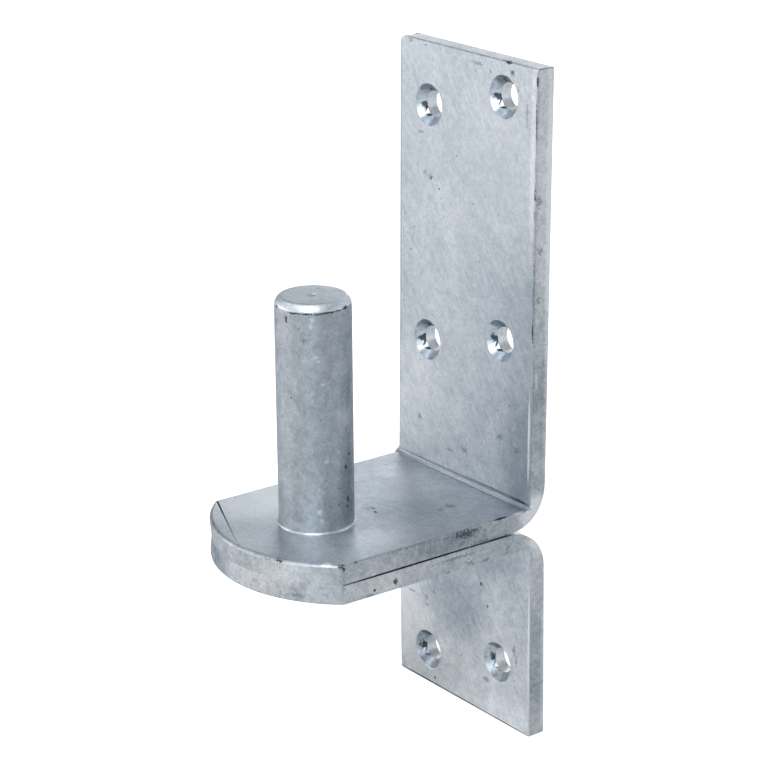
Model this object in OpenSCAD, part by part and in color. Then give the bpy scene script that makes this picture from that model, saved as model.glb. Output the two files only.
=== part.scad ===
// Gate hinge pin: a round pin riveted upright into the stacked shelves of two bent flat-bar brackets.
// The origin lies on the pin's axis, in the bearing face on which the hinge eye turns.
// +Z runs up the pin and +Y runs to the wall. All lengths are in millimetres.

/* [Flat bar] */
// Width of the flat bar that both brackets are bent from
bar_w = 58; // [46:1:66]
// Thickness of the flat bar
bar_t = 5.5; // [4:0.5:6.5]
// Radius inside the bend, pressed almost sharp
bend_in_r = 2; // [1:0.25:3]
// Radius outside the bend, where the bar is drawn thin
bend_out_r = 12; // [9:0.5:14]
// Bevel along the long edges on the inner side of the bend
edge_in = 0.5; // [0.2:0.05:0.8]
// Bevel along the long edges on the outer side of the bend
edge_out = 0.35; // [0.2:0.05:0.8]

/* [Brackets] */
// Distance from the pin's axis to the wall
wall_y = 54; // [48:0.5:80]
// Distance from the pin's axis to the tip of the nose
nose_y = 26.5; // [22:0.5:36]
// Radius of the nose, seen from above
nose_r = 37.5; // [36:0.5:60]
// Depth by which each sheared nose face falls back at the seam
nose_draft = 0.5; // [0.1:0.1:1]
// Height of the upper leg above the bearing face
upper_rise = 118.5; // [104:0.5:160]
// Depth of the lower leg below the bearing face
lower_drop = 67; // [56:0.5:100]
// Bevel at the corners of each leg's free end
end_bevel = 0.8; // [0.3:0.1:2]

/* [Screw holes] */
// Diameter of the screw holes
hole_d = 7; // [5:0.1:7.5]
// Diameter of the countersinks at the front face
sink_d = 11.4; // [10:0.1:12]
// Distance between the two columns of holes
column_gap = 31; // [24:0.5:33]
// Height by which the right-hand column stands above the left-hand one
column_step = 7.5; // [0:0.5:12]
// Distance between the upper leg's two rows
row_pitch = 65.5; // [50:0.5:70]
// Distance from the upper leg's end to its first row
upper_margin = 13.25; // [13:0.25:20]
// Distance from the lower leg's end to its row
lower_margin = 14; // [13:0.25:20]

/* [Pin] */
// Diameter of the pin
pin_d = 20; // [18:0.5:24]
// Height of the pin above the bearing face
pin_h = 62; // [40:0.5:90]
// Height of the worn rounding round the pin's top
crown_h = 2.1; // [1:0.1:4]
// Inset of the pin's flat top from its side
crown_in = 1.4; // [0.5:0.1:3]
// Diameter of the pip that the lathe left in the middle of the top
pip_d = 1.4; // [0.8:0.1:3]
// Height of that pip
pip_h = 0.4; // [0.2:0.1:1]
// Diameter of the spigot that passes through both shelves
spigot_d = 14; // [10:0.5:16]
// Gap all round the spigot in its hole
spigot_gap = 0.05; // [0.02:0.01:0.1]
// Diameter of the riveted head under the shelves
head_d = 20; // [17.5:0.5:24]
// Height of the riveted head
head_h = 3; // [2:0.25:5]

/* [Hidden] */
// Overrun of every cut past the face that it starts from
over = 0.6;
// Thickness of the two shelves together
stack_t = 2 * bar_t;
// Depth of a 90 degree countersink
sink_h = (sink_d - hole_d) / 2;
// Distance from the pin's axis back to the centre of the nose's arc
nose_centre_y = nose_r - nose_y;
// Shares of the quarter turn at which the rounding of the pin's top has its points
crown_shares = [0, 1/3, 2/3, 1];
// Radius of the sphere that the riveted head is a cap of
cap_r = (pow(head_d / 2, 2) + pow(head_h, 2)) / (2 * head_h);
zinc = "#aab3b9";
bright_zinc = "#b6bfc6";
$fn = 96;

// Turns side-view space, where X is world Y, Y is world Z and Z is world X, into world space.
module from_side_view() {
    rotate([90, 0, 90]) children();
}

// Side view of a bent bar whose outer face lies on the seam at height 0.
// reach is the height of its leg's end above the seam.
module bend_outline(reach) {
    inner = [wall_y - bar_t - bend_in_r, bar_t + bend_in_r];
    outer = [wall_y - bend_out_r, bend_out_r];
    difference() {
        union() {
            translate([wall_y - bar_t, 0]) square([bar_t, reach]);
            translate([-nose_y - over, 0]) square([wall_y + nose_y + over, bar_t]);
            difference() {
                translate([inner[0], bar_t]) square(bend_in_r);
                translate(inner) circle(bend_in_r);
            }
        }
        difference() {
            translate([outer[0], -over]) square(bend_out_r + over);
            translate(outer) circle(bend_out_r);
        }
    }
}

// Section of a bevelling cut at an edge at the origin, of a solid that fills the first quadrant.
module bevel_section(size) {
    polygon([[-over, -over], [size + over, -over], [-over, size + over]]);
}

// Bevels along one side of the bent bar, in side-view space, on its inner and outer edges.
module side_bevels(reach) {
    shelf_l = wall_y + nose_y + 2 * over;
    inner = [wall_y - bar_t - bend_in_r, bar_t + bend_in_r, 0];
    outer = [wall_y - bend_out_r, bend_out_r, 0];
    half_w = bar_w / 2;
    // Front face of the leg
    translate([wall_y - bar_t, inner[1], half_w])
        rotate([-90, 0, 0]) linear_extrude(reach) bevel_section(edge_in);
    // Inside of the bend
    translate(inner) rotate([0, 0, -90]) rotate_extrude(angle = 90)
        translate([bend_in_r, half_w]) mirror([0, 1]) bevel_section(edge_in);
    // Exposed face of the shelf
    translate([inner[0] - shelf_l, bar_t, half_w])
        mirror([0, 1, 0]) rotate([0, 90, 0]) linear_extrude(shelf_l) bevel_section(edge_in);
    // Wall face of the leg
    translate([wall_y, outer[1], half_w])
        mirror([1, 0, 0]) rotate([-90, 0, 0]) linear_extrude(reach) bevel_section(edge_out);
    // Outside of the bend
    translate(outer) rotate([0, 0, -90]) rotate_extrude(angle = 90)
        translate([bend_out_r, half_w]) rotate(180) bevel_section(edge_out);
    // Seam face of the shelf
    translate([outer[0] - shelf_l, 0, half_w])
        rotate([0, 90, 0]) linear_extrude(shelf_l) bevel_section(edge_out);
}

// Everything that lies behind the nose's arc, with the fall of the sheared face and its bevelled top.
module nose_envelope(reach) {
    translate([0, nose_centre_y, 0]) rotate_extrude() polygon([
        [0, -over], [nose_r - nose_draft, -over], [nose_r - nose_draft, 0],
        [nose_r, bar_t - edge_in], [nose_r - edge_in - over, bar_t + over], [0, bar_t + over]
    ]);
    translate([-bar_w / 2 - over, nose_centre_y, -over])
        cube([bar_w + 2 * over, wall_y - nose_centre_y + over, reach + 2 * over]);
}

// Bevels at both corners of the leg's free end.
module end_bevels(reach) {
    for (side = [0, 1]) mirror([side, 0, 0])
        translate([bar_w / 2, wall_y + over, reach])
            rotate([90, 180, 0]) linear_extrude(bar_t + 2 * over) bevel_section(end_bevel);
}

// Countersunk hole through a leg, at x across the bar and z above the seam.
module screw_hole(x, z) {
    translate([x, wall_y, z]) rotate([90, 0, 0]) {
        translate([0, 0, -over]) cylinder(d = hole_d, h = bar_t + 2 * over);
        translate([0, 0, bar_t - sink_h])
            cylinder(d1 = hole_d, d2 = sink_d + 2 * over, h = sink_h + over);
    }
}

// One bent bracket with its shelf resting on the seam at height 0 and its leg rising to reach.
// holes is a list of [x, z] places for the screws.
module bent_bracket(reach, holes) {
    difference() {
        intersection() {
            from_side_view() difference() {
                translate([0, 0, -bar_w / 2]) linear_extrude(bar_w) bend_outline(reach);
                side_bevels(reach);
                mirror([0, 0, 1]) side_bevels(reach);
            }
            nose_envelope(reach);
        }
        end_bevels(reach);
        translate([0, 0, -over]) cylinder(d = spigot_d + 2 * spigot_gap, h = bar_t + 2 * over);
        for (hole = holes) screw_hole(hole[0], hole[1]);
    }
}

// Places of a staggered row of two holes round the height z, with the right one up by step.
function staggered_row(z, step) = [for (side = [-1, 1]) [side * column_gap / 2, z + side * step / 2]];

module upper_bracket() {
    reach = upper_rise + bar_t;
    first_z = reach - upper_margin;
    color(zinc) translate([0, 0, -bar_t]) bent_bracket(
        reach,
        concat(staggered_row(first_z, column_step), staggered_row(first_z - row_pitch, column_step))
    );
}

module lower_bracket() {
    reach = lower_drop - bar_t;
    color(zinc) translate([0, 0, -bar_t]) mirror([0, 0, 1])
        bent_bracket(reach, staggered_row(reach - lower_margin, -column_step));
}

// Points of the pin's half section, from the spigot's foot up and over the rounded top.
function pin_outline() = concat(
    [[0, -stack_t], [spigot_d / 2, -stack_t], [spigot_d / 2, 0], [pin_d / 2, 0]],
    [for (turn = crown_shares) [
        pin_d / 2 - crown_in * (1 - cos(90 * turn)),
        pin_h - crown_h * (1 - sin(90 * turn))
    ]],
    [[0, pin_h]]
);

// Riveted head, a cap of a sphere under the lower shelf.
module riveted_head() {
    intersection() {
        translate([0, 0, -stack_t - head_h + cap_r]) sphere(cap_r);
        translate([0, 0, -stack_t - head_h - over]) cylinder(d = head_d + 2 * over, h = head_h + over);
    }
}

module hinge_pin() {
    color(bright_zinc) {
        rotate_extrude() polygon(pin_outline());
        translate([0, 0, pin_h]) cylinder(d1 = pip_d, d2 = pip_d / 2, h = pip_h);
        riveted_head();
    }
}

upper_bracket();
lower_bracket();
hinge_pin();
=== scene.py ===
"""Looks of a gate hinge pin: a round pin riveted upright into two bent flat-bar brackets, hot-dip galvanised.

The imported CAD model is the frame. Each rigid node is replaced by a detailed piece of the same size and place,
with rolled edges, drawn bends, rounded countersinks and a zinc coat. Places are in the CAD frame: the origin
lies on the pin's axis in the bearing face, +Z runs up the pin and +Y runs to the wall.
"""

import logging
import math
from dataclasses import dataclass
from enum import Enum, IntEnum
from typing import Any, Sequence

import bmesh
import bpy
from mathutils import Matrix, Vector


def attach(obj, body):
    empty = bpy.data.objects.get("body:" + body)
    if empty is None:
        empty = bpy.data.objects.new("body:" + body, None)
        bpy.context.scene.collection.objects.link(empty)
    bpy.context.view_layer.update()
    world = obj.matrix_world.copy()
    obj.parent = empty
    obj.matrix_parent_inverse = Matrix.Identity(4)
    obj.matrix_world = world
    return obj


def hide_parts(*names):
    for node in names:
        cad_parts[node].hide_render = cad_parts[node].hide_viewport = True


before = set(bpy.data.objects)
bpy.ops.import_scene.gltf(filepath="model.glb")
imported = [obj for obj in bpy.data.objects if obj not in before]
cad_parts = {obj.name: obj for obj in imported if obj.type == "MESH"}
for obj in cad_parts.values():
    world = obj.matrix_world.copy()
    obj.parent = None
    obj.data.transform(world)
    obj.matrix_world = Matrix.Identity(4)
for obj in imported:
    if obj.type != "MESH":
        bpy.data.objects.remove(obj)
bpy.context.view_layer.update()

LOG = logging.getLogger("gate_hinge_pin")
MM = 0.001
BODY = "root"

# Points closer together than this many metres are one point
WELD = 1e-6
# Points within this many metres of a cutting plane lie on it
ON_PLANE = 1e-8
# Steps round the pin and its bead
ROUND_STEPS = 128
# Angle in degrees from which a corner shows as sharp
SHARP_ANGLE = 42
# How far along Z the normal of a face that lies flat, slopes or stands may point
FLAT_Z, SLOPED_Z, UPRIGHT_Z = 0.95, 0.5, 0.1
# Distance in millimetres up to which a place counts as one on an outline
NEAR = 0.05
# How much of each finer step a noise keeps
NOISE_ROUGHNESS = 0.6
# Where a mark starts to thin out and where it ends, in its half lengths
MARK_FADE = (0.55, 1.15)
# Where a patch of painted light, shade and broad tone starts to fade and where it ends, in its half lengths
PATCH_FADE = (0.3, 1.3)

Material = bpy.types.Material
Tree = bpy.types.NodeTree
Socket = bpy.types.NodeSocket
Shape = bmesh.types.BMesh
Triple = tuple[float, float, float]


class LegSide(Enum):
    """The way in which a bracket's leg runs from its shelf, as the sign of its height."""

    UP = 1
    DOWN = -1


class Slot(Enum):
    """The record's material slots."""

    BRACKET = "bracket_zinc"
    PIN = "pin_zinc"


class BarFace(IntEnum):
    """The faces of a bar by the number of their material in its mesh."""

    FLAT = 0
    SINK = 1
    SIDE = 2
    BORE = 3


class Tint(Enum):
    """The colour of a softbox's light, in linear red, green and blue."""

    DAYLIGHT = (0.955, 1.0, 1.035)
    COOL = (0.85, 1.0, 1.15)
    WARM = (1.17, 0.97, 0.84)


def linear(hex_colour: str) -> tuple[float, float, float, float]:
    """Turns an sRGB hex colour into linear RGBA.

    Args:
        hex_colour: Six hex digits, with or without a leading #.

    Returns:
        The linear red, green, blue and alpha.
    """
    digits = hex_colour.lstrip("#")
    channels = [int(digits[i:i + 2], 16) / 255 for i in (0, 2, 4)]
    red, green, blue = (
        c / 12.92 if c <= 0.04045 else ((c + 0.055) / 1.055) ** 2.4 for c in channels
    )
    return red, green, blue, 1.0


def add_node(
    tree: Tree, kind: str, settings: dict[str, Any] | None = None, inputs: dict[str | int, Any] | None = None
) -> bpy.types.Node:
    """Adds one node with its settings, its fixed inputs and its links.

    Args:
        tree: The node tree that gets the node.
        kind: The shader node's type, without its first word ShaderNode.
        settings: Properties of the node itself.
        inputs: Values or output sockets, by the name or number of the input socket.

    Returns:
        The new node.
    """
    node = tree.nodes.new("ShaderNode" + kind)
    for name, value in (settings or {}).items():
        setattr(node, name, value)
    for key, value in (inputs or {}).items():
        if isinstance(value, Socket):
            tree.links.new(value, node.inputs[key])
        else:
            node.inputs[key].default_value = value
    return node


@dataclass(frozen=True)
class MarkLook:
    """How a kind of mark looks: its colour, how much it covers and how far its outline frays."""

    colour: str
    cover: float
    fray: float


class Mark(Enum):
    """What a mark on the zinc is: the zinc's own pits and smudges, and painted shade and painted highlights."""

    # Pits and chips in the zinc; the same dark spots are painted shade on the countersinks' walls
    PIT = MarkLook("#31373d", 0.9, 3.2)
    SMUDGE = MarkLook("#77818b", 0.55, 3.6)
    # Painted highlights: bright flecks on corners, edges and the lit front of the pin
    FLECK = MarkLook("#ffffff", 0.5, 3.6)
    # Crisp dark lines: painted shade along the seams, the crease, the lower leg's bottom edge and the
    # countersinks' rims, and dark lines along the upper leg's rolled right-hand edge
    SCORE = MarkLook("#23282d", 0.95, 0.5)
    # Painted shade: a soft grey line or band
    SHADE = MarkLook("#65707a", 0.6, 0.8)
    # Painted highlight: a bright line or spot
    GLINT = MarkLook("#ffffff", 1.0, 0.5)


@dataclass(frozen=True)
class WearMark:
    """A small mark at a place on the surface: one that the zinc has, or a spot of painted shade or painted
    highlight.

    Args:
        kind: What it is.
        place: Its centre in the CAD frame, in millimetres.
        size: Its half lengths along X, Y and Z, in millimetres.
    """

    kind: Mark
    place: Triple
    size: Triple


@dataclass(frozen=True)
class TonePatch:
    """A broad place painted lighter or darker, as painted light and shade and as the zinc's broad tone.

    Args:
        place: Its centre in the CAD frame, in millimetres.
        size: Its half lengths along X, Y and Z, in millimetres.
        lift: How much lighter it is, in units of tone, below 0 for darker.
    """

    place: Triple
    size: Triple
    lift: float


@dataclass(frozen=True)
class Mottle:
    """One size of mottling in the zinc.

    Args:
        size_mm: The width of one cloud.
        share: Its part in the tone.
        detail: How many finer steps it breaks into.
    """

    size_mm: float
    share: float
    detail: float = 2.0


def distance_from(tree: Tree, place: Socket, centre: Sequence[float], size: Sequence[float]) -> Socket:
    """Measures how far a point lies from a centre, in half lengths of an ellipsoid.

    Args:
        tree: The material's node tree.
        place: The object coordinates.
        centre: The ellipsoid's centre in millimetres.
        size: Its half lengths in millimetres.

    Returns:
        The socket with the distance, which is 1 on the ellipsoid.
    """
    away = add_node(tree, "Mapping", {"vector_type": "TEXTURE"}, {
        "Vector": place, "Location": tuple(c * MM for c in centre), "Scale": tuple(s * MM for s in size),
    })
    length = add_node(tree, "VectorMath", {"operation": "LENGTH"}, {0: away.outputs["Vector"]})
    return length.outputs["Value"]


def nearest_mark(tree: Tree, place: Socket, marks: Sequence[WearMark]) -> Socket:
    """Measures how far a point lies from the nearest of some marks, in that mark's half lengths.

    Args:
        tree: The material's node tree.
        place: The object coordinates.
        marks: The marks, at least one.

    Returns:
        The socket with the distance.
    """
    nearest, *others = (distance_from(tree, place, mark.place, mark.size) for mark in marks)
    for other in others:
        nearest = add_node(tree, "Math", {"operation": "MINIMUM"}, {0: nearest, 1: other}).outputs[0]
    return nearest


def with_marks(tree: Tree, place: Socket, fray: Socket, colour: Socket, marks: Sequence[WearMark]) -> Socket:
    """Lays the marks over a colour, as ragged spots round their places: the zinc's own marks, and painted shade
    and painted highlights.

    Args:
        tree: The material's node tree.
        place: The object coordinates.
        fray: A fine noise that frays each mark's outline.
        colour: The colour under the marks.
        marks: The marks.

    Returns:
        The socket with the marked colour.
    """
    for kind in Mark:
        alike = [mark for mark in marks if mark.kind is kind]
        if not alike:
            continue
        look = kind.value
        frayed = add_node(tree, "Math", {"operation": "MULTIPLY_ADD"}, {
            0: fray, 1: look.fray, 2: nearest_mark(tree, place, alike),
        })
        spot = add_node(tree, "MapRange", {"interpolation_type": "SMOOTHSTEP"}, {
            "Value": frayed.outputs["Value"],
            "From Min": MARK_FADE[0] + look.fray / 2, "From Max": MARK_FADE[1] + look.fray / 2,
            "To Min": look.cover, "To Max": 0.0,
        })
        colour = add_node(tree, "Mix", {"data_type": "RGBA"}, {
            "Factor": spot.outputs["Result"], "A": colour, "B": linear(look.colour),
        }).outputs[2]
    return colour


@dataclass(frozen=True)
class Finish:
    """A finish that the real object has, built as a node material."""

    name: str

    def look(self, tree: Tree, place: Socket) -> dict[str, Any]:
        """Draws the finish.

        Args:
            tree: The material's node tree.
            place: The object coordinates.

        Returns:
            The inputs of the material's shader.
        """
        raise NotImplementedError

    def build(self) -> Material:
        """Builds the material.

        Returns:
            The new material.
        """
        material = bpy.data.materials.new(self.name)
        material.use_nodes = True
        tree = material.node_tree
        tree.nodes.clear()
        place = add_node(tree, "TexCoord").outputs["Object"]
        shader = add_node(tree, "BsdfPrincipled", {}, self.look(tree, place))
        add_node(tree, "OutputMaterial", {}, {"Surface": shader.outputs["BSDF"]})
        return material


@dataclass(frozen=True)
class ZincFinish(Finish):
    """Hot-dip galvanised mild steel: zinc that froze on pickled steel after a molten bath.

    To the eye it is a pale blue-grey metal, clouded in several sizes from half a millimetre to some
    centimetres, with steep faint grinding lines that show through, a satin gloss and a few dark pits.
    The second of its mottles is the zinc's crystals, and the last is its grain.
    """

    name: str
    light: str = "#ebeef1"
    dark: str = "#a0aab3"
    mottles: tuple[Mottle, ...] = (
        Mottle(26.0, 0.5), Mottle(5.0, 0.75, 3.0), Mottle(1.6, 0.7), Mottle(0.55, 0.75),
    )
    mottle_warp: float = 0.8
    streak_turn: float = -33.0
    streak_mm: tuple[float, float] = (7.0, 0.55)
    streak_share: float = 0.6
    spread: float = 0.6
    roughness: tuple[float, float] = (0.46, 0.6)
    roughness_from: tuple[float, float] = (0.3, 0.7)
    bump_mm: float = 0.016
    crystal_relief: float = 1.8
    speck_cell_mm: float = 5.0
    speck_mm: float = 0.16
    speck_fade: tuple[float, float] = (0.8, 2.0)
    speck_cover: float = 0.8
    patches: tuple[TonePatch, ...] = ()
    marks: tuple[WearMark, ...] = ()

    def look(self, tree: Tree, place: Socket) -> dict[str, Any]:
        """Draws the mottled zinc with its pits and marks, and its painted light and shade.

        Args:
            tree: The material's node tree.
            place: The object coordinates.

        Returns:
            The inputs of the material's shader.
        """
        noises = [
            add_node(tree, "TexNoise", {}, {
                "Vector": place, "Scale": 1 / (m.size_mm * MM), "Detail": m.detail,
                "Roughness": NOISE_ROUGHNESS, "Distortion": self.mottle_warp,
            }).outputs["Fac"]
            for m in self.mottles
        ]
        crystals, grain = noises[1], noises[-1]
        tone = self.tone(tree, place, noises + [self.streaks(tree, place)])
        share = add_node(tree, "MapRange", {}, {
            "Value": tone, "From Min": -self.spread, "From Max": self.spread,
        })
        colour = add_node(tree, "Mix", {"data_type": "RGBA"}, {
            "Factor": share.outputs["Result"], "A": linear(self.dark), "B": linear(self.light),
        })
        marked = with_marks(tree, place, grain, self.with_specks(tree, place, colour.outputs[2]), self.marks)
        gloss = add_node(tree, "MapRange", {}, {
            "Value": crystals, "From Min": self.roughness_from[0], "From Max": self.roughness_from[1],
            "To Min": self.roughness[0], "To Max": self.roughness[1],
        })
        relief = add_node(tree, "Math", {"operation": "MULTIPLY_ADD"}, {
            0: crystals, 1: self.crystal_relief, 2: grain,
        })
        bump = add_node(tree, "Bump", {}, {
            "Distance": self.bump_mm * MM, "Height": relief.outputs["Value"],
        })
        return {
            "Base Color": marked, "Metallic": 1.0, "Roughness": gloss.outputs["Result"],
            "Normal": bump.outputs["Normal"],
        }

    def streaks(self, tree: Tree, place: Socket) -> Socket:
        """Draws the steep grinding lines that show through the zinc.

        Args:
            tree: The material's node tree.
            place: The object coordinates.

        Returns:
            The socket with the lines' noise.
        """
        length, width = self.streak_mm
        turned = add_node(tree, "Mapping", {"vector_type": "TEXTURE"}, {
            "Vector": place, "Rotation": (0.0, math.radians(self.streak_turn), 0.0),
            "Scale": (width * MM, width * MM, length * MM),
        })
        return add_node(tree, "TexNoise", {}, {
            "Vector": turned.outputs["Vector"], "Scale": 1.0, "Detail": 2.0, "Roughness": NOISE_ROUGHNESS,
        }).outputs["Fac"]

    def with_specks(self, tree: Tree, place: Socket, colour: Socket) -> Socket:
        """Lays the fine dark pits over a colour, about one to a cell.

        Args:
            tree: The material's node tree.
            place: The object coordinates.
            colour: The colour under the pits.

        Returns:
            The socket with the pitted colour.
        """
        specks = add_node(tree, "TexVoronoi", {}, {
            "Vector": place, "Scale": 1 / (self.speck_cell_mm * MM),
        })
        full, gone = (edge * self.speck_mm / self.speck_cell_mm for edge in self.speck_fade)
        speck = add_node(tree, "MapRange", {}, {
            "Value": specks.outputs["Distance"], "From Min": full, "From Max": gone,
            "To Min": self.speck_cover, "To Max": 0.0,
        })
        return add_node(tree, "Mix", {"data_type": "RGBA"}, {
            "Factor": speck.outputs["Result"], "A": colour, "B": linear(Mark.PIT.value.colour),
        }).outputs[2]

    def tone(self, tree: Tree, place: Socket, noises: Sequence[Socket]) -> Socket:
        """Adds up the mottling, the streaks and the broad patches of painted light and shade.

        Args:
            tree: The material's node tree.
            place: The object coordinates.
            noises: The noises, those of the mottles first and the streaks last.

        Returns:
            The socket with the tone, which is 0 on average.
        """
        shares = [m.share for m in self.mottles] + [self.streak_share]
        tone = add_node(tree, "Value").outputs[0]
        tone.default_value = -sum(shares) / 2
        for noise, share in zip(noises, shares):
            tone = add_node(tree, "Math", {"operation": "MULTIPLY_ADD"}, {
                0: noise, 1: share, 2: tone,
            }).outputs[0]
        for patch in self.patches:
            lift = add_node(tree, "MapRange", {"interpolation_type": "SMOOTHSTEP"}, {
                "Value": distance_from(tree, place, patch.place, patch.size),
                "From Min": PATCH_FADE[0], "From Max": PATCH_FADE[1], "To Min": patch.lift, "To Max": 0.0,
            }).outputs["Result"]
            tone = add_node(tree, "Math", {"operation": "ADD"}, {0: tone, 1: lift}).outputs[0]
        return tone


@dataclass(frozen=True)
class BrightZincFinish(Finish):
    """Thin bright zinc in a drilled countersink: cut steel that shed most of its bath.

    To the eye it is a glossy metal with sharp light and dark patches, broken by the drill's rings. With a
    higher roughness it is also the worn crown of the pin, whose whiter zinc is partly painted highlight, the
    bores and the bead at the pin's foot.
    """

    name: str
    light: str = "#eaedf0"
    dark: str = "#c3cbd2"
    ripple_mm: float = 1.3
    ripple_detail: float = 3.0
    ripple_from: tuple[float, float] = (0.3, 0.6)
    roughness: float = 0.35
    bump_mm: float = 0.012
    marks: tuple[WearMark, ...] = ()

    def look(self, tree: Tree, place: Socket) -> dict[str, Any]:
        """Draws the rippled zinc with its marks, which are painted shade in the countersinks and include painted
        highlights on the crown.

        Args:
            tree: The material's node tree.
            place: The object coordinates.

        Returns:
            The inputs of the material's shader.
        """
        ripple = add_node(tree, "TexNoise", {}, {
            "Vector": place, "Scale": 1 / (self.ripple_mm * MM), "Detail": self.ripple_detail,
            "Roughness": NOISE_ROUGHNESS,
        }).outputs["Fac"]
        share = add_node(tree, "MapRange", {"interpolation_type": "SMOOTHSTEP"}, {
            "Value": ripple, "From Min": self.ripple_from[0], "From Max": self.ripple_from[1],
        })
        colour = add_node(tree, "Mix", {"data_type": "RGBA"}, {
            "Factor": share.outputs["Result"], "A": linear(self.dark), "B": linear(self.light),
        })
        marked = with_marks(tree, place, ripple, colour.outputs[2], self.marks)
        bump = add_node(tree, "Bump", {}, {
            "Distance": self.bump_mm * MM, "Height": ripple,
        })
        return {
            "Base Color": marked, "Metallic": 1.0, "Roughness": self.roughness,
            "Normal": bump.outputs["Normal"],
        }


@dataclass(frozen=True)
class WhiteBoardFinish(Finish):
    """Matt white acrylic of a light table.

    To the eye it is an even pale glow with the faintest shade under the part. It glows only towards the
    lens, so that it shows white and yet throws back on the part no more than matt white paint would.
    """

    name: str = "light_table_acrylic"
    paint: str = "#e4e6e8"
    roughness: float = 0.9
    sheen: float = 0.2
    seen_glow: float = 0.97

    def look(self, tree: Tree, place: Socket) -> dict[str, Any]:
        """Draws the glowing board.

        Args:
            tree: The material's node tree.
            place: The object coordinates, not used here.

        Returns:
            The inputs of the material's shader.
        """
        seen = add_node(tree, "LightPath").outputs["Is Camera Ray"]
        glow = add_node(tree, "Math", {"operation": "MULTIPLY"}, {0: seen, 1: self.seen_glow})
        return {
            "Base Color": linear(self.paint), "Roughness": self.roughness, "Specular IOR Level": self.sheen,
            "Emission Color": linear("#ffffff"), "Emission Strength": glow.outputs["Value"],
        }


def new_object(name: str, data: bpy.types.ID) -> bpy.types.Object:
    """Makes an object at the origin and links it to the scene.

    Args:
        name: The object's name.
        data: Its mesh, light or camera.

    Returns:
        The new object.
    """
    made = bpy.data.objects.new(name, data)
    bpy.context.scene.collection.objects.link(made)
    return made


def new_mesh(name: str, bm: Shape) -> bpy.types.Mesh:
    """Makes a mesh of a bmesh, which is then freed.

    Args:
        name: The mesh's name.
        bm: The shape.

    Returns:
        The new mesh.
    """
    mesh = bpy.data.meshes.new(name)
    bm.to_mesh(mesh)
    bm.free()
    return mesh


def new_piece(name: str, bm: Shape, materials: Sequence[Material]) -> bpy.types.Object:
    """Makes an object at the origin from a finished shape, smooth but for its sharp corners.

    Args:
        name: The object's name.
        bm: The shape, already in its place.
        materials: The materials by slot.

    Returns:
        The new object, linked to the scene.
    """
    mesh = new_mesh(name, bm)
    for material in materials:
        mesh.materials.append(material)
    piece = new_object(name, mesh)
    mesh.shade_smooth()
    mesh.set_sharp_from_angle(angle=math.radians(SHARP_ANGLE))
    even = piece.modifiers.new("flat_faces_stay_flat", "WEIGHTED_NORMAL")
    even.keep_sharp = True
    even.mode = "FACE_AREA"
    return piece


def take_out(used: bpy.types.Object) -> None:
    """Takes an object that has served its turn out of the scene, with its mesh.

    Args:
        used: The object.
    """
    mesh = used.data
    bpy.data.objects.remove(used)
    bpy.data.meshes.remove(mesh)


def keep_shape(piece: bpy.types.Object) -> None:
    """Makes the shape that a piece has with its modifiers its own mesh, and takes them off.

    Args:
        piece: The object, with at least one modifier.
    """
    bpy.context.view_layer.update()
    shown = piece.evaluated_get(bpy.context.evaluated_depsgraph_get())
    mesh = bpy.data.meshes.new_from_object(shown)
    piece.modifiers.clear()
    old = piece.data
    piece.data = mesh
    bpy.data.meshes.remove(old)


def cut_away(target: bpy.types.Object, cutter: bpy.types.Object) -> None:
    """Cuts one object out of another and keeps the result in the target's mesh.

    Args:
        target: The object that is cut.
        cutter: The closed solid that is taken away, and then removed.
    """
    cut = target.modifiers.new("cut", "BOOLEAN")
    cut.operation = "DIFFERENCE"
    cut.solver = "EXACT"
    cut.object = cutter
    keep_shape(target)
    take_out(cutter)


def everything(bm: Shape) -> list[Any]:
    """Lists the corners, edges and faces of a shape."""
    return bm.verts[:] + bm.edges[:] + bm.faces[:]


def spun(profile: Sequence[tuple[float, float]], steps: int) -> Shape:
    """Spins a half profile a full turn round the Z axis.

    Args:
        profile: The radius and height of each point, in millimetres.
        steps: The number of steps round the turn.

    Returns:
        The closed mesh.
    """
    bm = bmesh.new()
    points = [bm.verts.new((r * MM, 0, z * MM)) for r, z in profile]
    edges = [bm.edges.new(pair) for pair in zip(points, points[1:])]
    bmesh.ops.spin(
        bm, geom=points + edges, cent=(0, 0, 0), axis=(0, 0, 1), angle=2 * math.pi, steps=steps,
        use_merge=True, use_duplicate=False,
    )
    bmesh.ops.remove_doubles(bm, verts=bm.verts[:], dist=WELD)
    bmesh.ops.dissolve_degenerate(bm, dist=WELD / 10, edges=bm.edges[:])
    bmesh.ops.recalc_face_normals(bm, faces=bm.faces[:])
    return bm


def rounding(
    centre: tuple[float, float], radius: float, start: float, end: float, steps: int
) -> list[tuple[float, float]]:
    """Points of an arc in a profile.

    Args:
        centre: The arc's centre.
        radius: Its radius.
        start: The angle at which it starts, in degrees.
        end: The angle at which it ends, in degrees.
        steps: The number of steps.

    Returns:
        The points, both ends included.
    """
    turns = [math.radians(start + (end - start) * i / steps) for i in range(steps + 1)]
    return [(centre[0] + radius * math.cos(a), centre[1] + radius * math.sin(a)) for a in turns]


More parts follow.
